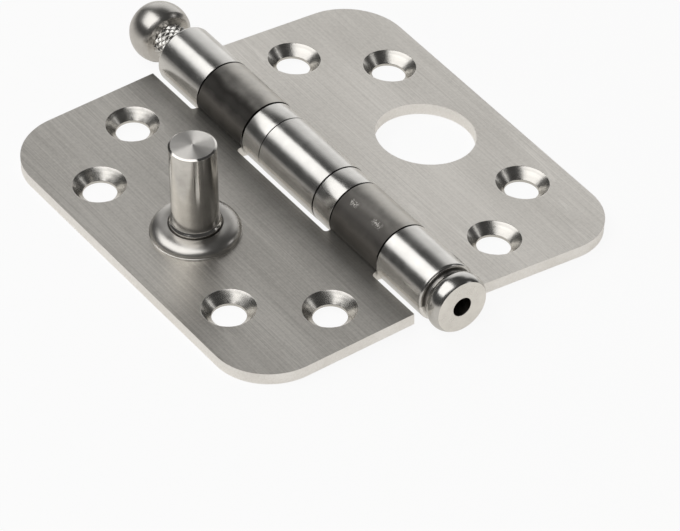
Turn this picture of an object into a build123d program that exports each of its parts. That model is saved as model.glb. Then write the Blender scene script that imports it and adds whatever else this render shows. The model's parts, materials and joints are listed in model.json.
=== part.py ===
from build123d import *
import math
import os

os.makedirs("parts", exist_ok=True)

# Ball bearing hinge of two rolled sheet leaves, in millimetres, +Z up.
# The hinge line runs along Y. It lies open, past flat, with its barrel and both outer edges on the ground.

# Leaves: one sheet each, bent down, round under the pin and over it
leaf_length = 89.0
leaf_reach = 44.5  # hinge line to outer edge
leaf_thickness = 2.5
corner_radius = 12.3
closed_gap = 3.0  # between the two faces when the hinge is shut
joggle_radius = 1.75  # bend on the underside, where the sheet drops to pass under the pin

# Barrel, from the end where the pin leaves to the end with the tip
barrel_radius = 6.35
end_knuckle_length = 13.9
load_knuckle_length = 15.3  # the stud leaf's two knuckles
bearing_length = 6.1
knuckle_gap = 0.12
seam_gap = 0.12  # between the rolled end and the face that it comes down on
slot_clearance = 1.17  # barrel to the cut edge of the opposite leaf
slot_corner_radius = 0.7

# Screw holes, countersunk at 90 degrees
screw_hole_radius = 3.4
countersink_radius = 5.37
inner_hole_reach = 19.5
inner_hole_offset = 33.8
outer_hole_reach = 34.85
outer_hole_offset = 22.3

# Security stud and the hole that it enters when the hinge is shut
stud_reach = 27.3
stud_swing = 0.35  # the hole sits this much further out, where the stud's tip swings in
stud_hole_radius = 10.05
stud_height = 21.6  # above the leaf's face
stud_radius = 4.75
stud_bead_radius = 5.15
stud_bead_height = 1.0
stud_chamfer = 0.45
stud_tail_radius = 4.0
stud_tail_recess = 0.1  # riveted end, just under the leaf's back
stud_tail_clearance = 0.02
collar_radius = 9.05
collar_height = 2.1
collar_rim_height = 0.45
collar_shoulder_radius = 7.4
collar_shoulder_drop = 0.35

# Pin, drawn partly out of the barrel
pin_clearance = 0.05
pin_exposed = 5.6
pin_end_gap = 1.0  # pin's end to the tip's spigot, once the pin is home
pin_end_chamfer = 0.9
knurl_length = 9.0
knurl_depth = 0.3
head_radius = 6.2
head_seat_radius = 5.0
head_length = 7.0
head_middle = 2.9  # underside to the head's widest place
head_edge_rise = 0.6

# Tip, pressed into the far end of the barrel, with a hole to knock the pin out through
tip_spigot_length = 6.0
tip_spigot_clearance = 0.02
tip_neck_radius = 5.3
tip_neck_length = 0.9
tip_length = 5.1
tip_rim_radius = 6.3
tip_rim_start = 2.0  # from the barrel's end
tip_rim_length = 1.5
tip_face_radius = 5.6
tip_hole_radius = 2.05

# Thrust bearings either side of the middle knuckle
ball_radius = 0.6
ball_count = 8
ball_clearance = 0.02
cup_wall = 0.5
cup_recess = 0.05  # cup inside the barrel's outline
race_bore_clearance = 0.1
load_race_fit = 0.1
cage_thickness = 0.5
cage_clearance = 0.15

# Round shapes hidden in the bearings are drawn in flats
ball_flats = 8
ring_flats = 24

overrun = 1.0  # how far a cutter runs past what it cuts

half_length = leaf_length / 2
axis_height = closed_gap / 2
back_depth = axis_height + leaf_thickness
bore_radius = barrel_radius - leaf_thickness
pin_radius = bore_radius - pin_clearance
slot_edge = barrel_radius + slot_clearance
end_knuckle_start = half_length - end_knuckle_length
load_knuckle_end = end_knuckle_start - knuckle_gap
load_knuckle_start = load_knuckle_end - load_knuckle_length
middle_half = load_knuckle_start - knuckle_gap - bearing_length

reach_of_edge = math.hypot(leaf_reach, back_depth)
leaf_droop = math.degrees(math.asin(barrel_radius / reach_of_edge) - math.atan2(back_depth, leaf_reach))

pin_length = leaf_length - tip_spigot_length - pin_end_gap  # under the head
head_start = half_length + pin_exposed
head_end = head_start + head_length
tip_end = -half_length - tip_length
placing = Location((0, -(head_end + tip_end) / 2, barrel_radius))
stud_hole_reach = stud_reach + stud_swing

race_gap = 2 * (ball_radius + ball_clearance)
race_thickness = (bearing_length + knuckle_gap - race_gap) / 2
race_bore = bore_radius + race_bore_clearance
cup_bore = barrel_radius - cup_recess - cup_wall
pitch_radius = (race_bore + cup_bore) / 2
ball_plane = middle_half + race_thickness + race_gap / 2

# The bend's centre lies below the sheet, where its arc is tangent to the roll
bend_depth = back_depth + joggle_radius
bend_reach = math.sqrt((barrel_radius + joggle_radius) ** 2 - bend_depth ** 2)
bend_angle = math.degrees(math.atan2(-bend_depth, bend_reach))
roll_end_angle = -math.degrees(math.asin((axis_height - seam_gap) / barrel_radius))
roll_sweep = 360 + bend_angle - roll_end_angle


def polar(radius, degrees):
    return (radius * math.cos(math.radians(degrees)), radius * math.sin(math.radians(degrees)))


def leaf_section():
    """The sheet seen along the hinge line: flat, down through the bend, then round the pin."""
    bend_centre = (bend_reach, -bend_depth)
    bend_sweep = 90 + bend_angle
    outline = [
        CenterArc((0, 0), barrel_radius, roll_end_angle, roll_sweep),
        CenterArc(bend_centre, joggle_radius, 180 + bend_angle, -bend_sweep),
        Line((bend_reach, -back_depth), (leaf_reach, -back_depth)),
        Line((leaf_reach, -back_depth), (leaf_reach, -axis_height)),
        Line((leaf_reach, -axis_height), (bend_reach, -axis_height)),
        CenterArc(bend_centre, joggle_radius + leaf_thickness, 90, bend_sweep),
        CenterArc((0, 0), bore_radius, bend_angle, -roll_sweep),
        Line(polar(bore_radius, roll_end_angle), polar(barrel_radius, roll_end_angle)),
    ]
    return Plane.XZ * make_face(outline)


def slot_cutter(low, high):
    """Clears a stretch of the roll, with rounded corners where it meets the flat."""
    width = slot_edge + barrel_radius + overrun
    rounded = RectangleRounded(width, high - low, slot_corner_radius)
    tall = extrude(rounded, barrel_radius + overrun, both=True)
    return Pos(slot_edge - width / 2, (low + high) / 2, 0) * tall


def screw_hole(x, y):
    """Through hole and its countersink, opening on the leaf's face."""
    depth = countersink_radius - screw_hole_radius
    through = Pos(x, y, -back_depth) * Cylinder(screw_hole_radius, 3 * leaf_thickness)
    sink = Pos(x, y, -axis_height - depth / 2) * Cone(screw_hole_radius, countersink_radius, depth)
    mouth = Pos(x, y, -axis_height + overrun / 2) * Cylinder(countersink_radius, overrun)
    return through + sink + mouth


def rolled_leaf(slots):
    """A leaf on the +X side, flat face at -axis_height, with its roll cut away in the slots."""
    sheet = extrude(leaf_section(), half_length, both=True)
    corners = sheet.edges().filter_by(Axis.Z).group_by(Axis.X)[-1]
    sheet = fillet(corners, corner_radius)
    for low, high in slots:
        sheet -= slot_cutter(low, high)
    for side in (1, -1):
        sheet -= screw_hole(inner_hole_reach, side * inner_hole_offset)
        sheet -= screw_hole(outer_hole_reach, side * outer_hole_offset)
    return sheet


def both_ends(low, high):
    return [(low, high), (-high, -low)]


def hole_leaf():
    """Leaf with the end and middle knuckles, and the hole for the stud."""
    leaf = rolled_leaf(both_ends(middle_half, end_knuckle_start))
    leaf -= Pos(stud_hole_reach, 0, -back_depth) * Cylinder(stud_hole_radius, 3 * leaf_thickness)
    return Rot(0, leaf_droop, 0) * leaf


def stud_leaf():
    """Leaf with the two loaded knuckles and the stud's rivet hole."""
    slots = both_ends(load_knuckle_end, half_length + overrun)
    leaf = rolled_leaf(slots + [(-load_knuckle_start, load_knuckle_start)])
    leaf -= Pos(stud_reach, 0, -back_depth) * Cylinder(stud_tail_radius, 3 * leaf_thickness)
    return Rot(0, -leaf_droop, 0) * mirror(leaf, Plane.YZ)


def turned(outline, axis):
    return revolve(make_face(outline), axis)


def security_stud():
    """Turned stud with a sloped collar, seated on the face and riveted through the leaf."""
    tail = stud_tail_radius - stud_tail_clearance
    outline = Polyline(
        (0, stud_height),
        (0, stud_tail_recess - leaf_thickness),
        (tail, stud_tail_recess - leaf_thickness),
        (tail, 0),
        (collar_radius, 0),
        (collar_radius, collar_rim_height),
        (collar_shoulder_radius, collar_height - collar_shoulder_drop),
        (stud_bead_radius, collar_height),
        (stud_radius, collar_height + stud_bead_height),
        (stud_radius, stud_height - stud_chamfer),
        (stud_radius - stud_chamfer, stud_height),
        close=True,
    )
    stud = turned(Plane.XZ * outline, Axis.Z)
    return Rot(0, -leaf_droop, 0) * Pos(-stud_reach, 0, -axis_height) * stud


def hinge_pin():
    """Loose pin: round button head, knurled neck, plain shank with a bevelled end."""
    end = head_start - pin_length
    neck = pin_radius - knurl_depth
    centre = head_start + head_middle
    low_angle = -math.degrees(math.asin((head_middle - head_edge_rise) / head_radius))
    high_angle = math.degrees(math.asin((head_length - head_middle) / head_radius))
    crown = CenterArc((0, centre), head_radius, low_angle, high_angle - low_angle)
    outline = [
        Polyline(
            (0, head_end),
            (0, end),
            (pin_radius - pin_end_chamfer, end),
            (pin_radius, end + pin_end_chamfer),
            (pin_radius, head_start - knurl_length),
            (neck, head_start - knurl_length + knurl_depth),
            (neck, head_start),
            (head_seat_radius, head_start),
            crown @ 0,
        ),
        crown,
        Line(crown @ 1, (0, head_end)),
    ]
    return turned(outline, Axis.Y)


def pin_tip():
    """Tip pressed into the last knuckle, with a neck, a rounded rim and a flat end."""
    start = -half_length
    spigot = bore_radius - tip_spigot_clearance
    outline = Polyline(
        (tip_face_radius, tip_end),
        (tip_hole_radius, tip_end),
        (tip_hole_radius, start + tip_spigot_length),
        (spigot, start + tip_spigot_length),
        (spigot, start),
        (tip_neck_radius, start),
        (tip_neck_radius, start - tip_neck_length),
        (tip_rim_radius, start - tip_rim_start),
        (tip_rim_radius, start - tip_rim_start - tip_rim_length),
        close=True,
    )
    return turned(outline, Axis.Y)


def inside(radius):
    """A hidden round in flats, drawn inside its circle."""
    return RegularPolygon(radius, ring_flats)


def outside(radius):
    """A hidden bore in flats, drawn outside its circle."""
    return RegularPolygon(radius, ring_flats, major_radius=False)


def along_pin(outline, low, high):
    """Extrudes an outline along the hinge line between two stations."""
    return Pos(0, high, 0) * Rot(90, 0, 0) * extrude(outline, high - low)


def bearing_cup():
    """Outer shell of the bearing in one with its fixed race, which is the cup's floor."""
    outer = Circle(barrel_radius - cup_recess)
    floor_end = middle_half + race_thickness
    floor = along_pin(outer - outside(race_bore), middle_half, floor_end)
    return floor + along_pin(outer - outside(cup_bore), floor_end, middle_half + bearing_length)


def load_race():
    """Race that turns with the loaded knuckle, free inside the cup."""
    section = inside(cup_bore - load_race_fit) - outside(race_bore)
    return along_pin(section, ball_plane + race_gap / 2, load_knuckle_start)


def around(piece, number):
    """Turns a piece from the pitch circle's start to one of the ball places."""
    return Rot(0, 360 * number / ball_count, 0) * Pos(pitch_radius, ball_plane, 0) * piece


def ball_outline(radius):
    """A ball's round, drawn with flats that touch it."""
    return RegularPolygon(radius, ball_flats, major_radius=False, rotation=180 / ball_flats)


def ball():
    """A bearing ball in flats: the same prism along each axis, intersected."""
    prism = extrude(ball_outline(ball_radius), ball_radius, both=True)
    return prism & Rot(90, 0, 0) * prism & Rot(0, 90, 0) * prism


def ball_cage():
    """Flat ring that keeps the balls apart."""
    low = ball_plane - cage_thickness / 2
    washer = along_pin(inside(cup_bore - cage_clearance) - Circle(race_bore), low, low + cage_thickness)
    pocket = Rot(90, 0, 0) * extrude(ball_outline(ball_radius + ball_clearance), cage_thickness, both=True)
    for number in range(ball_count):
        washer -= around(pocket, number)
    return washer


def thrust_bearing():
    """The bearing above the middle knuckle: cup, loaded race, cage and balls."""
    pieces = {
        "bearing_cup": bearing_cup(),
        "load_race": load_race(),
        "ball_cage": ball_cage(),
    }
    for number in range(ball_count):
        pieces[f"ball_{number + 1}"] = around(ball(), number)
    return pieces


parts = {
    "hole_leaf": hole_leaf(),
    "stud_leaf": stud_leaf(),
    "security_stud": security_stud(),
    "hinge_pin": hinge_pin(),
    "pin_tip": pin_tip(),
}
for name, piece in thrust_bearing().items():
    parts[f"upper_{name}"] = piece
    parts[f"lower_{name}"] = mirror(piece, Plane.XZ)

for name, piece in parts.items():
    export_step(placing * piece, f"parts/{name}.step")
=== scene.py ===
import json
import math

import bmesh
import bpy
from mathutils import Matrix, Vector


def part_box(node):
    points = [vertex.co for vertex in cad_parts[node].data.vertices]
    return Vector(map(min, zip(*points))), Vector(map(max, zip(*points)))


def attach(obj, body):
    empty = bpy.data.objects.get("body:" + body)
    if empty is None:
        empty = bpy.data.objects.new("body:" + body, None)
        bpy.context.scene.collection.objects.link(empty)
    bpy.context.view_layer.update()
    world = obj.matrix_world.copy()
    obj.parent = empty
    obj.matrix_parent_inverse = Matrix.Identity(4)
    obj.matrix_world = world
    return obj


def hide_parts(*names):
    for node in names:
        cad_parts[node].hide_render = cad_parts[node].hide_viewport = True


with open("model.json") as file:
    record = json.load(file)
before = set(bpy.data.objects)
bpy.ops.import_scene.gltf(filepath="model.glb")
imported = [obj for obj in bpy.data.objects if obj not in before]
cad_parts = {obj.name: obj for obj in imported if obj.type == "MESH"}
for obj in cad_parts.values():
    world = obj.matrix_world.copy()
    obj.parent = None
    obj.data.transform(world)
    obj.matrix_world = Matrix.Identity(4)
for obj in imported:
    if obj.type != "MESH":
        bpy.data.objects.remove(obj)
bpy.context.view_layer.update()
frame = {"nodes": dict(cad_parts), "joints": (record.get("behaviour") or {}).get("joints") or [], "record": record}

# Sizes are in millimetres, and each piece's mesh is scaled to metres as it is made
mm = 0.001
nodes = frame["nodes"]
mounts = {mount["name"]: mount for mount in frame["record"]["mounts"]}
foldJoint = next(joint for joint in frame["joints"] if joint["name"] == "leaf_fold")
hingePoint = Vector(foldJoint["pos_m"])
screwAxis = mounts["hole_leaf_inner_screws"]["axis"]
leafDroop = math.atan2(screwAxis[0], screwAxis[2])
print("frame loaded:", len(nodes), "nodes")


# Colour and node helpers
def linear(hexColour):
    channels = [int(hexColour[i:i + 2], 16) / 255 for i in (1, 3, 5)]
    return tuple(c / 12.92 if c <= 0.04045 else ((c + 0.055) / 1.055) ** 2.4 for c in channels) + (1.0,)


# Settings of a map range that eases in and out
smoothly = {"interpolation_type": "SMOOTHSTEP"}


# A kind that names no sort of node is a shader node, and a second word in it is the node's operation. Inputs
# are given by name or in order, and a node among them means its first output. A map range takes its value,
# the two values it runs between, and what these become.
def addNode(tree, kind, inputs=(), settings=None):
    kind, _, operation = kind.partition(" ")
    node = tree.nodes.new(kind if "Node" in kind else "ShaderNode" + kind)
    settings = {"operation": operation} if operation else settings or {}
    for name, value in settings.items():
        setattr(node, name, value)
    for key, value in inputs.items() if isinstance(inputs, dict) else enumerate(inputs):
        if isinstance(value, bpy.types.Node):
            value = value.outputs[0]
        if isinstance(value, bpy.types.NodeSocket):
            tree.links.new(value, node.inputs[key])
        else:
            node.inputs[key].default_value = value
    return node


# Tree, shader and object coordinates of a material
def openMaterial(material):
    tree = material.node_tree
    return tree, tree.nodes["Principled BSDF"], addNode(tree, "TexCoord").outputs["Object"]


def newMaterial(name, colour, roughness, metallic=1.0):
    material = bpy.data.materials.new(name)
    material.use_nodes = True
    tree, shader, place = openMaterial(material)
    shader.inputs["Base Color"].default_value = linear(colour)
    shader.inputs["Metallic"].default_value = metallic
    shader.inputs["Roughness"].default_value = roughness
    return material, tree, shader, place


# Two shades of one finish, mixed by a factor
def shadeMix(tree, factor, darkColour, lightColour):
    shades = {0: factor, 6: linear(darkColour), 7: linear(lightColour)}
    return addNode(tree, "Mix", shades, {"data_type": "RGBA"}).outputs[2]


# Mixes something new with what feeds a shader's socket, which is kept where the factor is keptAt
def mixInto(tree, socket, factor, fresh, keptAt=1):
    kind, first, result = ("FLOAT", 2, 0) if socket.type == "VALUE" else ("RGBA", 6, 2)
    mix = addNode(tree, "Mix",
                  {0: factor, first + 1 - keptAt: fresh,
                   first + keptAt: socket.links[0].from_socket}, {"data_type": kind})
    tree.links.new(mix.outputs[result], socket)


# Noise whose waves have the given lengths along X, Y and Z, in millimetres
def stretchedNoise(tree, place, lengths, detail, roughness=0.5, turn=0.0):
    scales = [1 / (length * mm) for length in lengths]
    stretched = addNode(tree, "Mapping", {"Vector": place, "Rotation": (0.0, 0.0, turn), "Scale": scales})
    return addNode(tree, "TexNoise",
                   {"Vector": stretched, "Scale": 1.0, "Detail": detail, "Roughness": roughness})


# Lays shade and relief on a shader, and wear if given as a noise with its lowest and highest value
def laySurface(tree, shader, look, shade, relief, depth, wear=None):
    tree.links.new(shadeMix(tree, shade, look["dark"], look["light"]), shader.inputs["Base Color"])
    bump = addNode(tree, "Bump", {"Height": relief, "Distance": depth * mm, "Strength": 1.0})
    tree.links.new(bump.outputs[0], shader.inputs["Normal"])
    if wear:
        rough = addNode(tree, "MapRange", [*wear, *look["roughness"]])
        tree.links.new(rough.outputs[0], shader.inputs["Roughness"])


# Marks of handling on a face: a fine mottling and faint scratches across the brushing
handling = {
    "grainSize": 0.55,  # coarser than the real grain, which is too fine to show
    "grainShare": 0.30,
    "scratchTurn": 0.72,
    "scratchSpacing": (2.4, 90.0),
    "scratchWidth": 0.010,
    "scratchTone": 0.4,
}
unhandled = handling | {"grainShare": 0.0, "scratchTone": 0.0}
# Cold-rolled stainless sheet, brushed on a belt: fine straight lines along the hinge line
brushedSheet = handling | {
    "dark": "#c8c4bd",
    "light": "#e9e5de",
    "roughness": (0.35, 0.43),
    "lineWidth": 0.25,  # the belt's real lines are about 0.05 mm, too fine to show
    "lineLength": 28.0,
    "cloudSize": 16.0,
    "lineDepth": 0.002,
}
# The hole leaf is a paler copy of the same sheet, painted light for how the light falls on it
paintedLitSheet = brushedSheet | {"dark": "#d1cdc6", "light": "#f2eee7"}
# Sheared and deburred sheet edge: pale satin with a faint grain across
shearedEdge = unhandled | {"dark": "#ebe8e3", "light": "#fdfbf8", "roughness": (0.36, 0.48),
                           "lineWidth": 0.4, "lineLength": 0.5, "cloudSize": 6.0, "lineDepth": 0.002}
# Inside of the rolls: as rolled, never polished
rawBore = unhandled | {"dark": "#6f6d69", "light": "#8a8883", "roughness": (0.4, 0.55),
                       "lineWidth": 0.5, "lineLength": 4.0, "cloudSize": 6.0, "lineDepth": 0.004}
# How lines and clouds make up the shade of brushed sheet, and the spreads of noise that are used
brushing = {
    "lineShare": 0.65,
    "cloudShare": 0.45,
    "cloudStretch": 0.35,
    "shadeRange": (0.38, 0.72),
    "wearRange": (0.35, 0.65),
    "scratchedClouds": (0.45, 0.6),
}


def makeBrushedSheet(name, look):
    material, tree, shader, place = newMaterial(name, look["light"], look["roughness"][0])
    width, cloud, (spacing, length) = look["lineWidth"], look["cloudSize"], look["scratchSpacing"]
    lines = stretchedNoise(tree, place, (width, look["lineLength"], width), 3.0, 0.65)
    clouds = stretchedNoise(tree, place, (cloud, cloud / brushing["cloudStretch"], cloud), 4.0)
    grain = stretchedNoise(tree, place, [look["grainSize"]] * 3, 2.0)
    waves = stretchedNoise(tree, place, (spacing, length, length), 0.0, turn=look["scratchTurn"])
    shade = addNode(tree, "Math MULTIPLY", [lines, brushing["lineShare"]])
    for noise, share in ((clouds, brushing["cloudShare"]), (grain, look["grainShare"])):
        shade = addNode(tree, "Math MULTIPLY_ADD", [noise, share, shade])
    shadeRange = [value + look["grainShare"] / 2 for value in brushing["shadeRange"]]
    factor = addNode(tree, "MapRange", [shade, *shadeRange])
    # A scratch runs where the waves are at half height, and shows only where the clouds are high
    scratches = addNode(tree, "Math COMPARE", [waves, 0.5, look["scratchWidth"]])
    worn = addNode(tree, "MapRange", [clouds, *brushing["scratchedClouds"], 0, look["scratchTone"]])
    scratched = addNode(tree, "Math MULTIPLY_ADD", [scratches, worn, factor])
    laySurface(tree, shader, look, scratched, lines, look["lineDepth"], (lines, *brushing["wearRange"]))
    return material


# Spreads of the patches' noise that shade and roughen turned metal
patchRanges = {"shade": (0.35, 0.65), "wear": (0.35, 0.7)}


# Lathe marks stretch reflections across themselves, along the piece's outline
def addTurnedSheen(tree, shader, place, line, amount):
    point, axis = line
    normal = addNode(tree, "NewGeometry").outputs["Normal"]
    out = addNode(tree, "VectorMath SUBTRACT", [place, point])
    around = addNode(tree, "VectorMath CROSS_PRODUCT", [axis, out])
    across = addNode(tree, "VectorMath CROSS_PRODUCT", [around, normal])
    unit = addNode(tree, "VectorMath NORMALIZE", [across])
    tree.links.new(unit.outputs[0], shader.inputs["Tangent"])
    shader.inputs["Anisotropic"].default_value = amount


# Turned or tumbled metal: rings round a line, given by a point and a direction
def makeTurned(name, look, line):
    material, tree, shader, place = newMaterial(name, look["light"], look["roughness"][0])
    toAxis = axisPlace(*line).inverted()
    local = addNode(tree, "Mapping",
                    {"Vector": place, "Location": toAxis.to_translation(), "Rotation": toAxis.to_euler()})
    split = addNode(tree, "SeparateXYZ", [local])
    flat = addNode(tree, "CombineXYZ", [split, split.outputs[1]])
    radius = addNode(tree, "VectorMath LENGTH", [flat]).outputs["Value"]
    angle = addNode(tree, "Math ARCTAN2", [split.outputs[1], split])
    pitch = 1 / (look["ringPitch"] * mm)
    scaled = [addNode(tree, "Math MULTIPLY", [value, factor]) for value, factor
              in ((radius, pitch), (split.outputs[2], pitch), (angle, look["ringBreaks"]))]
    wound = addNode(tree, "CombineXYZ", scaled)
    rings = addNode(tree, "TexNoise", {"Vector": wound, "Scale": 1.0, "Detail": 2.0, "Roughness": 0.6})
    patches = stretchedNoise(tree, place, [look["patchSize"]] * 3, 5.0, 0.6)
    shade = addNode(tree, "MapRange", [patches, *patchRanges["shade"]])
    laySurface(tree, shader, look, shade, rings, look["ringDepth"], (patches, *patchRanges["wear"]))
    if look["sheen"]:
        addTurnedSheen(tree, shader, place, line, look["sheen"])
    return material


# Countersinks are bored with a form tool: rings about each hole, from the radius kept on the mesh
boredSink = {"dark": "#b3b0ab", "light": "#dcd9d3", "roughness": 0.26,
             "ringPitch": 0.38, "ringDepth": 0.010, "waverScale": 120.0}


def makeCountersink():
    look = boredSink
    name = "bored stainless countersink"
    material, tree, shader, place = newMaterial(name, look["light"], look["roughness"])
    radius = addNode(tree, "Attribute", settings={"attribute_name": "holeRadius"}).outputs["Fac"]
    scaled = addNode(tree, "Math MULTIPLY", [radius, 1 / look["ringPitch"]])
    waver = addNode(tree, "TexNoise", {"Vector": place, "Scale": look["waverScale"], "Detail": 2.0})
    wound = addNode(tree, "CombineXYZ", [scaled, waver])
    rings = addNode(tree, "TexNoise", {"Vector": wound, "Scale": 1.0, "Detail": 0.5})
    laySurface(tree, shader, look, rings, rings, look["ringDepth"])
    return material


# A frame with its Z along an axis
def axisPlace(origin, direction):
    turn = Vector(direction).to_track_quat("Z", "Y").to_matrix().to_4x4()
    return Matrix.Translation(Vector(origin)) @ turn


# Station along the hinge line, and angle from the top of the barrel towards +X
def barrelPlace(tree, place):
    fromHinge = addNode(tree, "VectorMath SUBTRACT", [place, hingePoint])
    split = addNode(tree, "SeparateXYZ", [fromHinge])
    return split.outputs[1], addNode(tree, "Math ARCTAN2", [split, split.outputs[2]])


# The loaded knuckles' free half is darkened where the rolling die slid over it; the ramp's bands by angle are
# painted shade
dieMarkAndPaintedShade = {
    "unmarked": (-30.0, 6.0),  # degrees from the top of the barrel over which the mark fades out
    "ramp": ((-95, "#4a4845"), (-68, "#85817c"), (-52, "#4c4a47"), (-34, "#2f2d2b"), (-18, "#4a4845")),
    "lowerLift": 0.28,  # the lower knuckle's mark is this much nearer to the paler colour
    "palerColour": "#8f8b86",
    "middleFade": 0.001,
    "blotchScale": 260.0,
    "blotchReach": 0.3,  # radians by which the blotches move the mark's edges
    "roughness": 0.5,
}


def addDieMarkAndPaintedShade(material):
    tree, shader, place = openMaterial(material)
    station, angle = barrelPlace(tree, place)
    blotches = addNode(tree, "TexNoise", {"Vector": place, "Scale": dieMarkAndPaintedShade["blotchScale"], "Detail": 3.0})
    uneven = addNode(tree, "Math MULTIPLY_ADD", [blotches, dieMarkAndPaintedShade["blotchReach"], angle])
    stops = dieMarkAndPaintedShade["ramp"]
    start, end, low, high = [math.radians(degrees) + dieMarkAndPaintedShade["blotchReach"] / 2
                             for degrees in (*dieMarkAndPaintedShade["unmarked"], stops[0][0], stops[-1][0])]
    unmarked = addNode(tree, "MapRange", [uneven, start, end], smoothly)
    alongRamp = addNode(tree, "MapRange", [uneven, low, high])
    # Bands of painted shade by angle, over the darker metal
    ramp = addNode(tree, "ValToRGB", [alongRamp])
    elements = ramp.color_ramp.elements
    for number, (degrees, colour) in enumerate(stops):
        spot = (degrees - stops[0][0]) / (stops[-1][0] - stops[0][0])
        element = elements[number] if number < 2 else elements.new(spot)
        element.position, element.color = spot, linear(colour)
    fade = dieMarkAndPaintedShade["middleFade"]
    lower = addNode(tree, "MapRange", [station, fade, -fade, 0, dieMarkAndPaintedShade["lowerLift"]])
    paler = addNode(tree, "Mix",
                    {0: lower, 6: ramp, 7: linear(dieMarkAndPaintedShade["palerColour"])}, {"data_type": "RGBA"})
    mixInto(tree, shader.inputs["Base Color"], unmarked, paler.outputs[2])
    mixInto(tree, shader.inputs["Roughness"], unmarked, dieMarkAndPaintedShade["roughness"])


# Painted shade of the barrel on the flat beside the loaded knuckles, down to this share of the finish at the roll
paintedRollShade = {"share": 0.38, "reach": (5.0, 19.0), "blotchScale": 90.0, "blotchReach": 6.0}


def addPaintedRollShade(material):
    tree, shader, place = openMaterial(material)
    split = addNode(tree, "SeparateXYZ", [place])
    reach = addNode(tree, "Math ABSOLUTE", [split])
    blotches = addNode(tree, "TexNoise", {"Vector": place, "Scale": paintedRollShade["blotchScale"], "Detail": 3.0})
    blotchReach = paintedRollShade["blotchReach"] * mm
    uneven = addNode(tree, "Math MULTIPLY_ADD", [blotches, blotchReach, reach])
    start, end = [value * mm + blotchReach / 2 for value in paintedRollShade["reach"]]
    unmarked = addNode(tree, "MapRange", [uneven, start, end, paintedRollShade["share"]], smoothly)
    # Mixes towards black: the painted shade near the roll
    mixInto(tree, shader.inputs["Base Color"], unmarked, (0, 0, 0, 1))


# Short bright scuffs along one line of the barrel, where something has knocked it
scuffs = {
    "angle": (-30.0, 8.0),  # middle and reach in degrees
    "places": ((-22.2, 1.3), (-29.6, 1.8), (26.8, 0.3)),  # middle and reach of each along the hinge line
    "angleFade": 0.3,  # share of the reach at which a scuff is at its full strength
    "placeFade": 0.5,
    "size": 0.3,
    "level": (0.53, 0.60),
    "colour": "#bab7b2",
    "roughness": 0.36,
}


def addScuffs(material):
    tree, shader, place = openMaterial(material)
    station, angle = barrelPlace(tree, place)

    # 1 near a value, fading to 0 at the reach from it
    def nearTo(socket, middle, reach, fade):
        offset = addNode(tree, "Math SUBTRACT", [socket, middle])
        gap = addNode(tree, "Math ABSOLUTE", [offset])
        return addNode(tree, "MapRange", [gap, reach, reach * fade], smoothly)

    middle, reach = [math.radians(value) for value in scuffs["angle"]]
    onLine = nearTo(angle, middle, reach, scuffs["angleFade"])
    along = 0.0
    for middle, reach in scuffs["places"]:
        spot = nearTo(station, middle * mm, reach * mm, scuffs["placeFade"])
        along = addNode(tree, "Math MAXIMUM", [spot, along])
    flecks = stretchedNoise(tree, place, [scuffs["size"]] * 3, 2.0, 0.7)
    sharp = addNode(tree, "MapRange", [flecks, *scuffs["level"]])
    worn = addNode(tree, "Math MULTIPLY", [onLine, sharp])
    worn = addNode(tree, "Math MULTIPLY", [worn, along])
    mixInto(tree, shader.inputs["Base Color"], worn, linear(scuffs["colour"]), keptAt=0)
    mixInto(tree, shader.inputs["Roughness"], worn, scuffs["roughness"], keptAt=0)


studMiddle = Vector(mounts["stud_shank"]["pos_m"])
studAxis = Vector(mounts["stud_shank"]["axis"]).normalized()
hingeLine, studLine = (hingePoint, Vector((0, 1, 0))), (studMiddle, studAxis)
hingeFrame, studFrame = axisPlace(*hingeLine), axisPlace(*studLine)

# Barrel pieces tumbled bright: soft reflections with faint rings. Sheen is how far lathe marks stretch the
# reflections, from 0 to 1.
polishedBarrel = {"dark": "#c3c1bd", "light": "#d2d0cc", "roughness": (0.19, 0.25), "sheen": 0.0,
                  "ringPitch": 0.35, "ringBreaks": 1.2, "ringDepth": 0.0009, "patchSize": 5.0}
# The loaded knuckles keep more of the mill's dull skin and pick up scuffs
dullBarrel = polishedBarrel | {"dark": "#aaa7a1", "light": "#bfbbb4", "roughness": (0.30, 0.42),
                               "ringBreaks": 1.5, "ringDepth": 0.0012, "patchSize": 2.6}
# Bar turned on a lathe: the tool leaves fine rings
turnedBar = {"dark": "#c0bdb8", "light": "#d8d5d0", "roughness": (0.11, 0.16), "sheen": 0.75,
             "ringPitch": 0.3, "ringBreaks": 0.5, "ringDepth": 0.0016, "patchSize": 6.0}
# Its faced top is rougher, and fans the reflections out
facedBar = turnedBar | {"dark": "#dddad5", "light": "#eeebe6", "roughness": (0.42, 0.46), "sheen": 0.95}
# The collar and the pin are polished less
satinBar = turnedBar | {"dark": "#bcb9b4", "light": "#cdcac5", "roughness": (0.27, 0.33), "sheen": 0.5}
# Root of the stud, painted dark as the shade in its corner by the collar
shadedRootBar = turnedBar | {"dark": "#55524f", "light": "#6b6864", "roughness": (0.36, 0.42), "sheen": 0.0,
                       "ringDepth": 0.0005, "patchSize": 8.0}
# Tip, faced and left satin
satinTip = shadedRootBar | {"dark": "#e2dfd9", "light": "#f0ede7", "roughness": (0.26, 0.34),
                      "ringBreaks": 1.0, "ringDepth": 0.0015, "patchSize": 3.0}
# Knuckle ends and grooves, painted near black as the shade that falls in the joints
shadedGrooveSteel = shadedRootBar | {"dark": "#2a2826", "light": "#3b3836", "roughness": (0.42, 0.5),
                          "ringBreaks": 2.0, "ringDepth": 0.002, "patchSize": 2.0}
# Neck and hole of the tip, painted grey as the shade in these recesses
shadedNeckSteel = shadedGrooveSteel | {"dark": "#8e8b87", "light": "#a6a39f", "roughness": (0.3, 0.4)}
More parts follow.
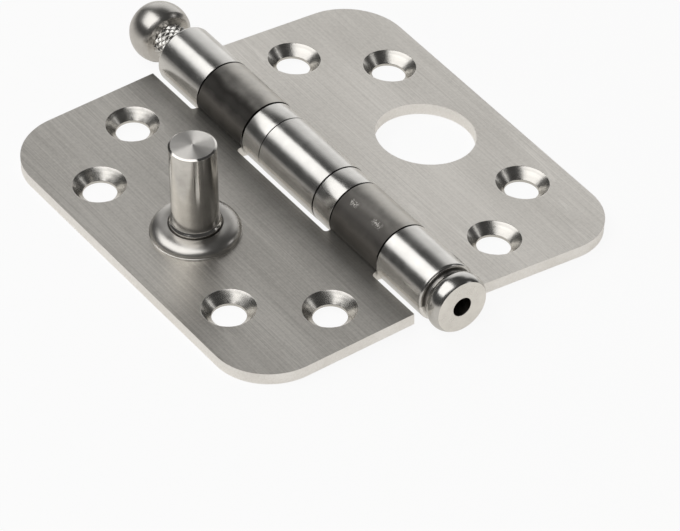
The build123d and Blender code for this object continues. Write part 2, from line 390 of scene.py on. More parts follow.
# Hard chrome steel, ground and lapped
groundSteel = {"dark": "#b9bbbd", "light": "#d4d6d8", "roughness": (0.06, 0.12), "sheen": 0.0,
               "ringPitch": 0.12, "ringBreaks": 0.6, "ringDepth": 0.0003, "patchSize": 3.0}
# Pressed brass strip: warm yellow, satin
pressedBrass = {"dark": "#b08d4a", "light": "#cfae66", "roughness": (0.22, 0.34), "sheen": 0.0,
                "ringPitch": 0.2, "ringBreaks": 2.0, "ringDepth": 0.001, "patchSize": 2.0}

# The hole leaf's sheet, painted paler as painted light
brushedStainless = makeBrushedSheet("brushed stainless sheet", paintedLitSheet)
# The stud leaf's sheet, with painted shade beside its roll
shadedStainless = makeBrushedSheet("brushed stainless sheet with painted shade by the roll", brushedSheet)
addPaintedRollShade(shadedStainless)
edgeStainless = makeBrushedSheet("sheared stainless edge", shearedEdge)
boreStainless = makeBrushedSheet("unpolished stainless bore", rawBore)
countersunkStainless = makeCountersink()
polishedStainless = makeTurned("tumbled stainless", polishedBarrel, hingeLine)
dullStainless = makeTurned("dull rolled stainless", dullBarrel, hingeLine)
# The loaded knuckles' dark mark, with bands of painted shade
addDieMarkAndPaintedShade(dullStainless)
addScuffs(dullStainless)
turnedStainless = makeTurned("turned stainless bar", turnedBar, studLine)
facedStainless = makeTurned("faced stainless end", facedBar, studLine)
collarStainless = makeTurned("turned stainless collar", satinBar, studLine)
# The stud's root, with painted shade
shadedRootStainless = makeTurned("stainless root with painted shade", shadedRootBar, studLine)
pinStainless = makeTurned("turned stainless pin", satinBar, hingeLine)
tipStainless = makeTurned("satin stainless tip", satinTip, hingeLine)
# Painted shade for the knuckle ends and grooves
shadedGrooveStainless = makeTurned("stainless groove with painted shade", shadedGrooveSteel, hingeLine)
shadedNeckStainless = makeTurned("stainless neck with painted shade", shadedNeckSteel, hingeLine)
bearingSteel = makeTurned("ground bearing steel", groundSteel, hingeLine)
cageBrass = makeTurned("pressed brass", pressedBrass, hingeLine)
print("finishes made")


# Mesh helpers
def linkObject(name, data):
    made = bpy.data.objects.new(name, data)
    bpy.context.scene.collection.objects.link(made)
    return made


def linkMesh(name, bm, materials):
    mesh = bpy.data.meshes.new(name)
    bm.to_mesh(mesh)
    bm.free()
    for material in materials:
        mesh.materials.append(material)
    return linkObject(name, mesh)


# Corners are (radius, height, fillet) and each fillet becomes an arc tangent to both sides
def roundedOutline(corners, closed, steps=6):
    outline = []
    count = len(corners)
    for i, (radius, height, fillet) in enumerate(corners):
        here = Vector((radius, height))
        ends = not closed and i in (0, count - 1)
        if fillet == 0 or ends:
            outline.append(here)
            continue
        before = (Vector(corners[i - 1][:2]) - here).normalized()
        after = (Vector(corners[(i + 1) % count][:2]) - here).normalized()
        half = before.angle(after) / 2
        toTangent = fillet / math.tan(half)
        centre = here + (before + after).normalized() * (fillet / math.sin(half))
        start = here + before * toTangent - centre
        end = here + after * toTangent - centre
        sweep = start.angle_signed(end)
        for step in range(steps + 1):
            spun = start.copy()
            spun.rotate(Matrix.Rotation(-sweep * step / steps, 2))
            outline.append(centre + spun)
    return outline


# Outline points of an arc about a middle, which is a radius and a height, with its own two radii
def arcPoints(middle, radii, start, end, steps=16):
    angles = [start + (end - start) * step / steps for step in range(steps + 1)]
    return [(middle[0] + radii[0] * math.cos(a), middle[1] + radii[1] * math.sin(a), 0) for a in angles]


# A point this near the axis, in millimetres, is on it
onAxis = 1e-6


# The pick function, if given, chooses a face's material from its two outline points
def lathe(name, corners, place, materials, closed=False, pick=None, sides=160, shadeAngle=32):
    outline = roundedOutline(corners, closed)
    bm = bmesh.new()
    toMetres = place @ Matrix.Scale(mm, 4)
    turns = [2 * math.pi * k / sides for k in range(sides)]
    rings = []
    for radius, height in outline:
        if radius < onAxis:
            rings.append([bm.verts.new(toMetres @ Vector((0, 0, height)))])
            continue
        spots = [(radius * math.cos(a), radius * math.sin(a), height) for a in turns]
        rings.append([bm.verts.new(toMetres @ Vector(spot)) for spot in spots])
    pairs = list(zip(rings, rings[1:]))
    if closed:
        pairs.append((rings[-1], rings[0]))
    spans = {}
    for pairNumber, (low, high) in enumerate(pairs):
        for k in range(sides):
            after = (k + 1) % sides
            around = [low[k % len(low)], low[after % len(low)], high[after % len(high)], high[k % len(high)]]
            unique = list(dict.fromkeys(around))
            if len(unique) > 2:
                spans[bm.faces.new(unique)] = pairNumber
    bmesh.ops.recalc_face_normals(bm, faces=bm.faces)
    for face, pairNumber in spans.items():
        if pick:
            face.material_index = pick(outline[pairNumber], outline[(pairNumber + 1) % len(outline)])
    piece = linkMesh(name, bm, materials)
    piece.data.shade_smooth()
    piece.data.set_sharp_from_angle(angle=math.radians(shadeAngle))
    return piece


def finishPiece(piece, body, replaced):
    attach(piece, body)
    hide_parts(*replaced)


# Leaves: the frame's own solids, merged, with their edges broken. Angles are in degrees.
leafLook = {
    "faceBelowAxis": 1.5,
    "mergeAngle": 0.5,  # facets that meet flatter than this are merged first
    "breakAngle": 28.0,  # edges sharper than this are broken
    "breakSegments": 3,
    "shadeAngle": 40.0,
    "loadKnuckleLength": 15.3,
    "barrelRadius": 6.35,
    "boreRadius": 3.85,
    "outlineBreak": 0.16,  # deburred outer edge
    "knuckleBreak": 0.3,  # knuckle ends
    "barrelEndBreak": 0.6,  # the barrel's two ends, rounded over
    "jointStep": 0.26,  # the loaded knuckles stop this much short beside the end ones
    "knuckleSplit": 6.0,  # beyond this reach an end face is sheared edge, and nearer it is knuckle end
    "rimBreak": 0.05,  # countersinks and holes
    "countersinkRadius": 5.37,
    "cutFaceArea": 20.0,  # larger faces of the outline are its straight sides
    "endReach": 1.5,  # this near the leaf's end, a face across the barrel is its end and not a groove
    "rollReach": 6.0,  # the roll runs out into the flat within this much of the barrel
    "boreSlack": 0.4,
    "rimReach": 0.3,  # an edge this near a countersink or the barrel's outline belongs to it
    "slack": 0.05,
    "underSlack": 0.02,
    "match": 0.01,
}
# How much of a face's normal lies along an axis, for a face that looks that way
facing = {"barely": 0.05, "half": 0.5, "nearly": 0.9, "fully": 0.999}


# Heights along the hinge line at which a node starts and ends
def stations(node):
    return [(corner - hingePoint).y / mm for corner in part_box(node)]


# A direction in a leaf's own frame: X away from the hinge line, Z up from it
def leafDirection(direction, side):
    x, z = direction.x * side, direction.z
    return Vector((x * math.cos(leafDroop) - z * math.sin(leafDroop), direction.y,
                   x * math.sin(leafDroop) + z * math.cos(leafDroop)))


# A point in that frame, in millimetres from the hinge line, and the way back from it
def leafPoint(point, side):
    return leafDirection((Vector(point) - hingePoint) / mm, side)


def leafPlace(point, side):
    x, y, z = point
    away = x * math.cos(leafDroop) + z * math.sin(leafDroop)
    up = z * math.cos(leafDroop) - x * math.sin(leafDroop)
    return hingePoint + mm * Vector((side * away, y, up))


def screwCentres(leafName):
    side = 1 if leafName == "hole_leaf" else -1
    centres = []
    for which in ("inner", "outer"):
        mount = mounts[f"{leafName}_{which}_screws"]
        middle = leafPoint(mount["pos_m"], side)
        reach = mount["dims"]["pcd_mm"] / 2
        centres += [(middle.x, middle.y + reach), (middle.x, middle.y - reach)]
    return centres


def holeDistance(point, centres):
    return min(math.hypot(point.x - x, point.y - y) for x, y in centres)


# Finish of a face, by where it is and which way it looks
def faceKind(centre, normal, centres, leafEnd):
    look = leafLook
    fromAxis, nearHole = math.hypot(centre.x, centre.z), holeDistance(centre, centres)
    rolled = "bore" if fromAxis < look["boreRadius"] + look["boreSlack"] else "roll"
    if fromAxis < look["barrelRadius"] + look["slack"] and centre.z > -look["faceBelowAxis"] - look["slack"]:
        # A knuckle end near the axis takes the groove's painted shade
        if abs(normal.y) > facing["half"] and abs(centre.y) < leafEnd - look["endReach"]:
            return "groove" if centre.x < look["knuckleSplit"] else "edge"
        return rolled
    if fromAxis < look["barrelRadius"] + look["underSlack"] and abs(normal.y) < facing["half"]:
        return rolled
    sloped = facing["half"] < normal.z < facing["nearly"]
    if sloped and nearHole < look["countersinkRadius"] + 2 * look["slack"]:
        return "sink"
    if abs(normal.z) > facing["nearly"]:
        return "flat"
    if nearHole < look["countersinkRadius"]:
        return "sink"
    alongRoll = abs(normal.y) < facing["half"] and abs(normal.z) > facing["barely"]
    return "flat" if alongRoll and centre.x < look["barrelRadius"] + look["rollReach"] else "edge"


# Corners this near each other, in metres, are one
weldDistance = 1e-6


# Bare copy of a node's mesh with its corners joined, so that edges can be broken
def joinedCopy(nodeName):
    bm = bmesh.new()
    source = nodes[nodeName].data
    spots = [bm.verts.new(vertex.co) for vertex in source.vertices]
    for polygon in source.polygons:
        bm.faces.new([spots[i] for i in polygon.vertices])
    bmesh.ops.remove_doubles(bm, verts=bm.verts, dist=weldDistance)
    return bm


def makeLeaf(leafName, flatMaterial, rollMaterial, body):
    side = 1 if leafName == "hole_leaf" else -1
    look = leafLook
    bm = joinedCopy(leafName)
    bmesh.ops.dissolve_limit(bm, angle_limit=math.radians(look["mergeAngle"]), verts=bm.verts, edges=bm.edges)
    centres = screwCentres(leafName)
    leafEnd = stations(leafName)[1]
    # Two cuts, so that no face lies on both sides of a change of finish
    underCut = -look["faceBelowAxis"] + look["slack"]
    for cut, step in (((look["knuckleSplit"], 0, 0), (1, 0, 0)), ((0, 0, underCut), (0, 0, 1))):
        point = leafPlace(cut, side)
        direction = leafPlace(Vector(cut) + Vector(step), side) - point
        bmesh.ops.bisect_plane(bm, geom=bm.verts[:] + bm.edges[:] + bm.faces[:], plane_co=point,
                               plane_no=direction.normalized())
    if leafName == "stud_leaf":
        middle = sum(stations("hole_leaf")) / 2
        knuckleEnd = stations("upper_load_race")[1] - middle + look["loadKnuckleLength"]
        for vertex in bm.verts:
            station = (vertex.co - hingePoint).y / mm - middle
            onKnuckle = leafPoint(vertex.co, side).x < look["knuckleSplit"] + look["match"]
            if onKnuckle and abs(abs(station) - knuckleEnd) < look["match"]:
                vertex.co.y -= math.copysign(look["jointStep"], station) * mm

    def edgeGroup(edge):
        if len(edge.link_faces) != 2 or edge.calc_face_angle(0) < math.radians(look["breakAngle"]):
            return None
        middle = leafPoint((edge.verts[0].co + edge.verts[1].co) / 2, side)
        if holeDistance(middle, centres) < look["countersinkRadius"] + look["rimReach"]:
            return "rimBreak"
        offBarrel = math.hypot(middle.x, middle.z) - look["barrelRadius"]
        atEnd = abs(middle.y) > leafEnd - 2 * look["slack"] and middle.x < look["knuckleSplit"]
        if atEnd and -look["rimReach"] < offBarrel < look["slack"]:
            return "barrelEndBreak"
        return "knuckleBreak" if offBarrel < 2 * look["slack"] else "outlineBreak"

    for group in ("barrelEndBreak", "knuckleBreak", "outlineBreak", "rimBreak"):
        chosen = [edge for edge in bm.edges if edgeGroup(edge) == group]
        bmesh.ops.bevel(bm, geom=chosen, offset=look[group] * mm, profile=0.5, affect="EDGES",
                        segments=look["breakSegments"], clamp_overlap=group != "barrelEndBreak")
    bmesh.ops.recalc_face_normals(bm, faces=bm.faces)
    kinds = ["flat", "roll", "edge", "sink", "bore", "groove"]
    smooth = []
    for face in bm.faces:
        centre = leafPoint(face.calc_center_median(), side)
        normal = leafDirection(face.normal, side)
        kind = faceKind(centre, normal, centres, leafEnd)
        face.material_index = kinds.index(kind)
        wide = face.calc_area() > look["cutFaceArea"] * mm ** 2
        plane = wide or max(abs(normal.y), abs(normal.z)) > facing["fully"]
        smooth.append(kind in ("roll", "bore", "sink") or not plane)
    materials = [flatMaterial, rollMaterial, edgeStainless, countersunkStainless, boreStainless,
                 shadedGrooveStainless]
    piece = linkMesh(f"{leafName}_sheet", bm, materials)
    holeRadius = piece.data.attributes.new("holeRadius", "FLOAT", "POINT")
    for vertex in piece.data.vertices:
        holeRadius.data[vertex.index].value = holeDistance(leafPoint(vertex.co, side), centres)
    piece.data.set_sharp_from_angle(angle=math.radians(look["shadeAngle"]))
    piece.data.polygons.foreach_set("use_smooth", smooth)
    straighten = piece.modifiers.new("straight reflections", "WEIGHTED_NORMAL")
    straighten.keep_sharp = True
    finishPiece(piece, body, [leafName])
    print(leafName, "made with", len(piece.data.polygons), "faces")


makeLeaf("hole_leaf", brushedStainless, polishedStainless, "hole_side")
makeLeaf("stud_leaf", shadedStainless, dullStainless, "stud_side")


# Security stud, turned from bar: heights are above the leaf's face
stud = {
    "height": 21.6,
    "radius": 4.75,
    "shankRadius": 4.68,  # just under the chamfered end
    "shankStep": 0.12,
    "beadRadius": 5.15,
    "beadHeight": 1.0,
    "rootShare": 0.35,  # the painted shade at the root reaches this far up the bead
    "topChamfer": 0.45,
    "topBreak": 0.06,
    "topDome": 0.16,
    "nibRadius": 0.35,
    "nibHeight": 0.07,
    "collarRadius": 9.05,
    "collarHeight": 2.1,
    "domeInner": 6.2,  # from here the collar rounds over to its rim
    "domeFoot": 0.3,
    "rimStep": 0.12,
    "domeSteps": 12,
    "grooveWidth": 0.22,
    "grooveDepth": 0.25,
    "tailRadius": 3.98,
    "tailDepth": 2.4,
    "slack": 0.02,
    "nibFlatShare": 0.4,
    "nibFillets": (0.1, 0.2),
    "shankFillet": 0.8,  # where the shank runs out into the bead
    "beadShoulder": 0.45,  # share of the bead's height
    "beadFillet": 0.25,
    "rimDrop": 0.06,
    "rimFillet": 0.04,
    "tailFillet": 0.2,
    "fineFillet": 0.05,
}


def makeStud():
    s = stud
    faceHeight = -leafLook["faceBelowAxis"]
    toFace = faceHeight - (studMiddle - hingePoint).dot(studAxis) / mm
    base = studFrame @ Matrix.Translation((0, 0, toFace * mm))
    grooveOut = s["beadRadius"] + s["grooveWidth"]
    domeRadii = (s["collarRadius"] - s["rimStep"] - s["domeInner"], s["collarHeight"] - s["domeFoot"])
    dome = arcPoints((s["domeInner"], s["domeFoot"]), domeRadii, math.pi / 2, 0, s["domeSteps"])
    nibTop, beadTop = s["height"] + s["nibHeight"], s["collarHeight"] + s["beadHeight"]
    chamferFoot, grooveFloor = s["height"] - s["topChamfer"], s["collarHeight"] - s["grooveDepth"]
    fine = s["fineFillet"]
    corners = [
        (0, nibTop, 0),
        (s["nibRadius"] * s["nibFlatShare"], nibTop, s["nibFillets"][0]),
        (s["nibRadius"], s["height"], s["nibFillets"][1]),
        (s["radius"] - s["topChamfer"], s["height"] - s["topDome"], s["topBreak"]),
        (s["radius"], chamferFoot, s["topBreak"]),
        (s["shankRadius"], chamferFoot - s["shankStep"], fine),
        (s["shankRadius"], beadTop, s["shankFillet"]),
        (s["beadRadius"], s["collarHeight"] + s["beadHeight"] * s["beadShoulder"], s["beadFillet"]),
        (s["beadRadius"], grooveFloor, fine),
        (grooveOut, grooveFloor, fine),
        (grooveOut + fine, s["collarHeight"], fine),
        *dome,
        (s["collarRadius"], s["domeFoot"] - s["rimDrop"], s["rimFillet"]),
        (s["collarRadius"], 0, 0),
        (s["tailRadius"], 0, 0),
        (s["tailRadius"], -s["tailDepth"], s["tailFillet"]),
        (0, -s["tailDepth"], 0),
    ]
    rootTop = s["collarHeight"] + s["beadHeight"] * s["rootShare"]

    # Shank, faced top, collar and the painted shade of the root between them
    def finishOf(a, b):
        if min(a[1], b[1]) > s["height"] - s["topDome"] - s["slack"]:
            return 1
        if max(a[1], b[1]) > rootTop:
            return 0
        underCollar = min(a[1], b[1]) < s["domeFoot"] / 3
        return 2 if underCollar or max(a[0], b[0]) > grooveOut + s["slack"] else 3

    materials = [turnedStainless, facedStainless, collarStainless, shadedRootStainless]
    piece = lathe("turned_stud", corners, base, materials, pick=finishOf)
    finishPiece(piece, "stud_side", ["security_stud"])


makeStud()

# Loose pin: a round button head on a knurled neck
pin = {
    "shankRadius": 3.8,
    "endChamfer": 0.9,
    "neckRadius": 3.5,
    "knurlLength": 9.0,
    "headLength": 7.0,
    "headRadius": 6.2,
    "headMiddle": 2.9,
    "headSeatRadius": 5.0,
    "headEdgeRise": 0.6,
    "crownDrop": 0.12,  # the crown meets the head's small flat end this far below it
    "crownFillet": 0.1,
    "endFillet": 0.2,
    "fineFillet": 0.05,
    "neckRun": 0.3,  # the shank narrows to the neck over this length
    "flare": (0.6, 0.1),  # width and length over which the neck widens into the head
    "seatFillet": 0.15,
}


def makePin():
    p = pin
    shankEnd, headEnd = stations("hinge_pin")
    headStart = headEnd - p["headLength"]
    middle, fine = headStart + p["headMiddle"], p["fineFillet"]
    crownEnds = [math.asin((height - middle) / p["headRadius"])
                 for height in (headStart + p["headEdgeRise"], headEnd - p["crownDrop"])]
    crown = arcPoints((0, middle), [p["headRadius"]] * 2, *crownEnds)
    flareWidth, flareLength = p["flare"]
    neckStart = headStart - p["knurlLength"]
    corners = [
        (0, shankEnd, 0),
        (p["shankRadius"] - p["endChamfer"], shankEnd, p["endFillet"]),
        (p["shankRadius"], shankEnd + p["endChamfer"], p["endFillet"]),
        (p["shankRadius"], neckStart, fine),
        (p["neckRadius"], neckStart + p["neckRun"], fine),
        (p["neckRadius"], headStart - flareLength, 0),
        (p["neckRadius"] + flareWidth, headStart, flareLength),
        (p["headSeatRadius"], headStart, p["seatFillet"]),
        *crown[:-1],
        (crown[-1][0] - fine, headEnd, p["crownFillet"]),
        (0, headEnd, 0),
    ]
    piece = lathe("button_head_pin", corners, hingeFrame, [pinStainless])
    finishPiece(piece, "pin", ["hinge_pin"])
    return headStart


headStart = makePin()


# Geometry Nodes helpers
def newGeometryTree(name, counts, lengths):
    tree = bpy.data.node_groups.new(name, "GeometryNodeTree")
    for labels, kind in ((counts, "NodeSocketInt"), (lengths, "NodeSocketFloat")):
        for label in labels:
            tree.interface.new_socket(label, in_out="INPUT", socket_type=kind)
    tree.interface.new_socket("Geometry", in_out="OUTPUT", socket_type="NodeSocketGeometry")
    return tree, tree.nodes.new("NodeGroupInput").outputs


def endGeometryTree(tree, instances, material):
    real = addNode(tree, "GeometryNodeRealizeInstances", [instances])
    finish = addNode(tree, "GeometryNodeSetMaterial", {"Geometry": real, "Material": material})
    tree.links.new(finish.outputs[0], tree.nodes.new("NodeGroupOutput").inputs[0])
    return tree


# Sets a modifier's inputs by their identifiers, then keeps only the plain mesh
def bakedFromTree(name, tree, values, place, material):
    maker = linkObject(name + "_maker", bpy.data.meshes.new(name + "_start"))
    modifier = maker.modifiers.new("maker", "NODES")
    modifier.node_group = tree
    identifiers = {item.name: item.identifier for item in tree.interface.items_tree if item.in_out == "INPUT"}
    for label, value in values.items():
        modifier[identifiers[label]] = value
    bpy.context.view_layer.update()
    graph = bpy.context.evaluated_depsgraph_get()
    mesh = bpy.data.meshes.new_from_object(maker.evaluated_get(graph))
    bpy.data.objects.remove(maker)
    mesh.transform(place @ Matrix.Scale(mm, 4))
    mesh.materials.clear()
    mesh.materials.append(material)
    return linkObject(name, mesh)


# Diamond knurl: staggered rows of small pyramids round the neck
knurl = {
    "teethAround": 17,
    "rows": 13,
    "neckRadius": 3.46,
    "toothHeight": 0.3,
    "tipShare": 0.12,  # width of a tooth's flat tip
    "endMargin": 0.25,
}


def knurlTree(material):
    tree, given = newGeometryTree(
        "diamondKnurl", ("Teeth Around", "Rows"),
        ("Radius", "Row Pitch", "Tooth Height", "Tooth Width", "Tip Width", "Start"))
    count = addNode(tree, "Math MULTIPLY", [given["Teeth Around"], given["Rows"]])
    index = addNode(tree, "GeometryNodeInputIndex").outputs[0]
    row = addNode(tree, "Math DIVIDE", [index, given["Teeth Around"]])
    rowNumber = addNode(tree, "Math FLOOR", [row])
    halfRow = addNode(tree, "Math MULTIPLY", [rowNumber, 0.5])
    place = addNode(tree, "Math ADD", [index, halfRow])
    turns = addNode(tree, "Math DIVIDE", [place, given["Teeth Around"]])
    angle = addNode(tree, "Math MULTIPLY", [turns, 2 * math.pi])
    cosine = addNode(tree, "Math COSINE", [angle])
    sine = addNode(tree, "Math SINE", [angle])
    outward = addNode(tree, "CombineXYZ", [cosine, sine])
    onNeck = addNode(tree, "VectorMath SCALE", {0: outward, "Scale": given["Radius"]})
    height = addNode(tree, "Math MULTIPLY_ADD", [rowNumber, given["Row Pitch"], given["Start"]])
    lift = addNode(tree, "CombineXYZ", {2: height})
    position = addNode(tree, "VectorMath ADD", [onNeck, lift])
    points = addNode(tree, "GeometryNodePoints", {"Count": count, "Position": position})
    tooth = addNode(tree, "GeometryNodeMeshCone",
                    {"Vertices": 4, "Radius Top": given["Tip Width"], "Radius Bottom": given["Tooth Width"],
                     "Depth": given["Tooth Height"]}, {"fill_type": "NGON"})
    spin = addNode(tree, "CombineXYZ", {2: angle})
    tilt = addNode(tree, "FunctionNodeRotateEuler",
                   {"Rotation": spin,
                    "Rotate By": (0, math.pi / 2, 0)}, {"rotation_type": "EULER", "space": "LOCAL"})
    instances = addNode(tree, "GeometryNodeInstanceOnPoints",
                        {"Points": points, "Instance": tooth.outputs["Mesh"], "Rotation": tilt})
    return endGeometryTree(tree, instances, material)


def makeKnurl():
    k = knurl
    rowPitch = (pin["knurlLength"] - 2 * k["endMargin"]) / k["rows"]
    values = {
        "Teeth Around": k["teethAround"],
        "Rows": k["rows"],
        "Radius": k["neckRadius"],
        "Row Pitch": rowPitch,
        "Tooth Height": k["toothHeight"],
        "Tooth Width": rowPitch,
        "Tip Width": rowPitch * k["tipShare"],
        "Start": headStart - pin["knurlLength"] + k["endMargin"] + rowPitch / 2,
    }
    tree = knurlTree(polishedStainless)
    piece = bakedFromTree("diamond_knurl", tree, values, hingeFrame, polishedStainless)
    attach(piece, "pin")


makeKnurl()

# Tip at the far end of the barrel, with its knock-out hole
tip = {
    "spigotLength": 6.0,
    "spigotRadius": 3.83,
    "neckRadius": 5.3,
    "neckLength": 0.75,
    "rimMiddle": 3.15,  # from the barrel's end
    "rimMajor": 3.37,
    "rimMinor": 2.93,
    "rimSteps": 20,
    "rimEnds": (0.08, 0.12),  # the rim's arc stops short of the neck's groove and of the end face
    "holeRadius": 2.05,
    "slack": 0.05,
    "edgeFillet": 0.08,
    "fineFillet": 0.06,
    "insideFillet": 0.1,
    "spigotFillet": 0.2,
    "faceStep": 0.1,
}


def makeTip():
    t = tip
    end, barrelEnd = stations("pin_tip")[0], stations("hole_leaf")[0]
    rimCentre = barrelEnd - t["rimMiddle"]
    neckEnd, spigotEnd = barrelEnd - t["neckLength"], barrelEnd + t["spigotLength"]
    rimEnds = [math.asin((height - rimCentre) / t["rimMinor"])
               for height in (neckEnd - t["rimEnds"][0], end + t["rimEnds"][1])]
    rim = arcPoints((t["rimMajor"], rimCentre), [t["rimMinor"]] * 2, *rimEnds, t["rimSteps"])
    corners = [
        (t["holeRadius"], end, t["edgeFillet"]),
        (t["holeRadius"], spigotEnd, t["insideFillet"]),
        (t["spigotRadius"], spigotEnd, t["spigotFillet"]),
        (t["spigotRadius"], barrelEnd, 0),
        (t["neckRadius"], barrelEnd, t["edgeFillet"]),
        (t["neckRadius"], neckEnd, t["fineFillet"]),
        *rim,
        (rim[-1][0] - t["faceStep"], end, t["fineFillet"]),
    ]

    # Polished rim, satin end face, and painted shade on the neck and inside
    def finishOf(a, b):
        if max(a[1], b[1]) < end + t["slack"]:
            return 1
        onNeck = min(a[1], b[1]) > neckEnd - t["slack"]
        inHole = max(a[0], b[0]) < t["holeRadius"] + t["slack"]
        return 2 if onNeck or inHole else 0

    materials = [polishedStainless, tipStainless, shadedNeckStainless]
    piece = lathe("rounded_tip", corners, hingeFrame, materials, closed=True, pick=finishOf)
    finishPiece(piece, "hole_side", ["pin_tip"])


makeTip()

# Thrust bearings: the cup shows in the barrel, and the races, cage and balls run inside it
bearing = {
    "wall": 0.5,
    "edgeBreak": 0.12,
    "grooveWidth": 0.25,
    "grooveDepth": 0.4,
    "ballRadius": 0.6,
    "ballSides": 24,
    "raceHeight": 2.49,
    "raceBore": 3.95,
    "raceFillet": 0.05,
    "grooveFillet": 0.02,
    "greyDepth": 0.2,  # faces deeper than this below the outside are painted dark as shade
    "greySlope": 0.5,  # and so are faces that rise less than this along the barrel for their run across it
}


def makeCup(end):
    cup = bearing
    node = f"{end}_bearing_cup"
    low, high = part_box(node)
    outer = (high - low).x / 2 / mm
    start, stop = stations(node)
    mirror = 1
    if end == "lower":
        start, stop, mirror = stop, start, -1
    groove, race = mirror * cup["grooveWidth"], start + mirror * cup["raceHeight"]
    grooveFloor, inside = outer - cup["grooveDepth"], outer - cup["wall"]
    corners = [
        (cup["raceBore"], start, 0),
        (grooveFloor, start, 0),
        (grooveFloor, start + groove, cup["grooveFillet"]),
        (outer, start + groove, cup["edgeBreak"]),
        (outer, stop - groove, cup["edgeBreak"]),
        (grooveFloor, stop - groove, cup["grooveFillet"]),
        (grooveFloor, stop, 0),
        (inside, stop, 0),
        (inside, race, cup["raceFillet"]),
        (cup["raceBore"], race, cup["raceFillet"]),
    ]

    # Polished outside, and painted shade where a face lies deeper or across the barrel
    def finishOf(a, b):
        deep = max(a[0], b[0]) < outer - cup["greyDepth"]
        return int(deep or abs(a[1] - b[1]) < cup["greySlope"] * abs(a[0] - b[0]))

    materials = [polishedStainless, shadedGrooveStainless]
    piece = lathe(f"{end}_cup", corners, hingeFrame, materials, closed=True, pick=finishOf)
    finishPiece(piece, "hole_side", [node])


def ballTree(material):
    tree, given = newGeometryTree("ballSet", ("Balls", "Sides"), ("Pitch Radius", "Ball Radius", "Height"))
    circle = addNode(tree, "GeometryNodeMeshCircle",
                     {"Vertices": given["Balls"], "Radius": given["Pitch Radius"]}, {"fill_type": "NONE"})
    rings = addNode(tree, "Math DIVIDE", [given["Sides"], 2])
    ball = addNode(tree, "GeometryNodeMeshUVSphere",
                   {"Segments": given["Sides"], "Rings": rings, "Radius": given["Ball Radius"]})
    instances = addNode(tree, "GeometryNodeInstanceOnPoints",
                        {"Points": circle, "Instance": ball.outputs["Mesh"]})
    lift = addNode(tree, "CombineXYZ", {2: given["Height"]})
    moved = addNode(tree, "GeometryNodeTransform", {0: instances, "Translation": lift})
    return endGeometryTree(tree, moved, material)


def makeBalls(end, tree):
    ballNodes = sorted(name for name in nodes if name.startswith(f"{end}_ball_") and name[-1].isdigit())
    low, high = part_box(ballNodes[0])
    fromAxis = (low + high) / 2 - hingePoint
    values = {
        "Balls": len(ballNodes),
        "Pitch Radius": math.hypot(fromAxis.x, fromAxis.z) / mm,
        "Ball Radius": bearing["ballRadius"],
        "Height": fromAxis.y / mm,
        "Sides": bearing["ballSides"],
    }
    piece = bakedFromTree(f"{end}_balls", tree, values, hingeFrame, bearingSteel)
    piece.data.shade_smooth()
    finishPiece(piece, f"{end}_ball_set", ballNodes)


ballMaker = ballTree(bearingSteel)
for end in ("upper", "lower"):
    makeCup(end)
    makeBalls(end, ballMaker)
    for name, material in (("load_race", bearingSteel), ("ball_cage", cageBrass)):
        nodes[f"{end}_{name}"].data.materials.clear()
        nodes[f"{end}_{name}"].data.materials.append(material)
print("barrel pieces made")


# Floor, and a white studio round it
floor = {
    "size": 3.0,
    "colour": "#f4f3f1",
    "mirroredColour": "#fbf8f3",
    "shadowShare": 0.08,
    "mirroredShadowShare": 0.40,
    "farHeading": (-0.78, 0.62, 0),  # in reflections the floor darkens this way, over this reach in metres
    "farReach": (0.045, 0.11),
    "farShare": 0.2,
    "drop": 0.00002,  # keeps the floor clear of what stands on it
}


def makeFloor():
    bm = bmesh.new()
    bmesh.ops.create_grid(bm, x_segments=1, y_segments=1, size=floor["size"] / 2)
    material, tree, shader, place = newMaterial("matt white board", floor["colour"], 0.9, metallic=0.0)
    shader.inputs["Specular IOR Level"].default_value = 0.0
    rays = addNode(tree, "LightPath").outputs
    mirrored = addNode(tree, "Math MAXIMUM", [rays["Is Glossy Ray"], rays["Is Transmission Ray"]])
    mirroredShare = addNode(tree, "Math MULTIPLY", [mirrored, 1 - floor["mirroredShadowShare"]])
    share = addNode(tree, "Math MULTIPLY_ADD",
                    [rays["Is Camera Ray"], 1 - floor["shadowShare"], mirroredShare])
    reach = addNode(tree, "VectorMath DOT_PRODUCT", [place, floor["farHeading"]]).outputs["Value"]
    fade = addNode(tree, "MapRange", [reach, *floor["farReach"], 1, floor["farShare"]], smoothly)
    strength = addNode(tree, "Mix", {0: mirrored, 2: 1.0, 3: fade})
    white = addNode(tree, "Emission", {"Strength": strength})
    colour = shadeMix(tree, mirrored, "#ffffff", floor["mirroredColour"])
    tree.links.new(colour, white.inputs["Color"])
    mix = addNode(tree, "MixShader", [share, shader, white])
    tree.links.new(mix.outputs[0], tree.nodes["Material Output"].inputs["Surface"])
    board = linkMesh("floor_board", bm, [material])
    board.location.z = -floor["drop"]


makeFloor()

# A dim room with a bright backdrop low on the far right. Azimuths are from straight along the hinge line
# towards the hole leaf, spreads are cosines from the azimuth, and heights are sines of elevation, each from
# where a wall begins to where it is full.
room = 0.06
walls = [
    {"level": 0.07, "azimuth": -75.0, "spread": (0.35, 0.8), "height": (0.62, 0.45)},
    {"level": 0.93, "azimuth": 48.0, "spread": (0.70, 0.95), "height": (0.78, 0.52)},
    # The foot of the backdrop
    {"level": 1.2, "azimuth": 48.0, "spread": (0.70, 0.95), "height": (0.52, 0.0)},
]


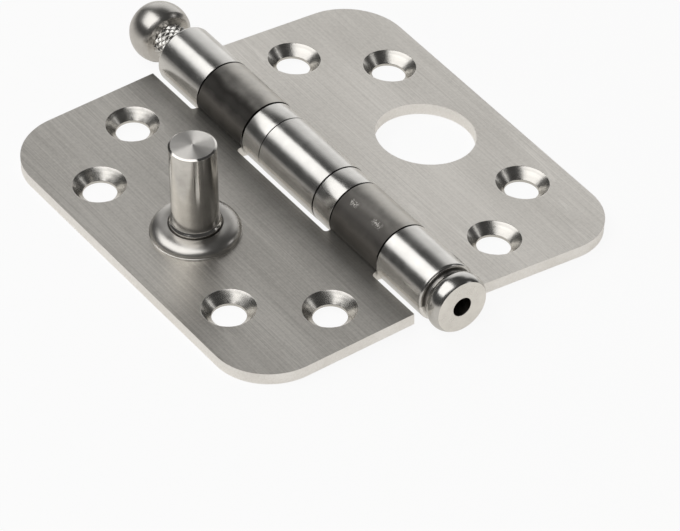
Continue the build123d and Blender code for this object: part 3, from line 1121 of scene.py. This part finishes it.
def makeWorld():
    world = bpy.data.worlds.new("studio")
    bpy.context.scene.world = world
    world.use_nodes = True
    tree = world.node_tree
    tree.nodes.clear()
    direction = addNode(tree, "TexCoord").outputs["Generated"]
    split = addNode(tree, "SeparateXYZ", [direction])
    flat = addNode(tree, "CombineXYZ", [split, split.outputs[1]])
    heading = addNode(tree, "VectorMath NORMALIZE", [flat])
    level = room
    for wall in walls:
        azimuth = math.radians(wall["azimuth"])
        towards = addNode(tree, "VectorMath DOT_PRODUCT",
                          [heading, (math.sin(azimuth), math.cos(azimuth), 0)]).outputs["Value"]
        across = addNode(tree, "MapRange", [towards, *wall["spread"]], smoothly)
        below = addNode(tree, "MapRange", [split.outputs[2], *wall["height"]], smoothly)
        share = addNode(tree, "Math MULTIPLY", [across, below])
        level = addNode(tree, "Mix", {0: share, 2: level, 3: wall["level"]})
    rays = addNode(tree, "LightPath").outputs
    strength = addNode(tree, "Mix", {0: rays["Is Camera Ray"], 2: level, 3: 1.0})
    background = addNode(tree, "Background", {"Color": (1, 1, 1, 1), "Strength": strength})
    target = addNode(tree, "OutputWorld")
    tree.links.new(background.outputs[0], target.inputs[0])


makeWorld()

# A large softbox overhead on the left, and a small one on the right of the camera. Radiance is what a mirror
# would show, where 1 is white, and facing is away from the hinge.
softboxes = {
    "overhead": {"place": (-0.755, 0.30, 1.0), "size": (1.33, 1.84),
                 "radiance": 1.75, "facing": (0, 0, 1)},
    "side": {"place": (1.1, -0.67, 0.69), "size": (0.30, 0.30),
             "radiance": 1.5, "facing": (0.76, -0.46, 0.46)},
}


for name, box in softboxes.items():
    lamp = bpy.data.lights.new(name, "AREA")
    lamp.shape = "RECTANGLE"
    lamp.size, lamp.size_y = box["size"]
    lamp.energy = box["radiance"] * math.pi * box["size"][0] * box["size"][1]
    light = linkObject(name, lamp)
    light.location = box["place"]
    light.rotation_euler = Vector(box["facing"]).to_track_quat("Z", "Y").to_euler()

# Camera: a long lens, at the photograph's angle
view = {
    "aim": (-0.0014347, -0.0160370, -0.0086263),
    "azimuth": 36.597,  # from straight along the hinge line, towards the stud leaf
    "elevation": 39.551,
    "roll": 2.151,
    "distance": 1.0806,
    "lens": 293.75,  # lens and sensor in millimetres
    "sensorWidth": 36.0,
    "clipStart": 0.05,
}


def makeCamera():
    camera = bpy.data.cameras.new("camera")
    camera.sensor_width = view["sensorWidth"]
    camera.lens = view["lens"]
    camera.clip_start = view["clipStart"]
    holder = linkObject("camera", camera)
    azimuth, elevation = math.radians(view["azimuth"]), math.radians(view["elevation"])
    back = Vector((-math.sin(azimuth) * math.cos(elevation), -math.cos(azimuth) * math.cos(elevation),
                   math.sin(elevation)))
    level = back.to_track_quat("Z", "Y").to_matrix().to_4x4()
    roll = Matrix.Rotation(math.radians(view["roll"]), 4, "Z")
    place = Matrix.Translation(Vector(view["aim"]) + back * view["distance"])
    holder.matrix_world = place @ level @ roll
    bpy.context.scene.camera = holder


makeCamera()
bpy.context.scene.view_settings.view_transform = "Standard"
print("studio made")
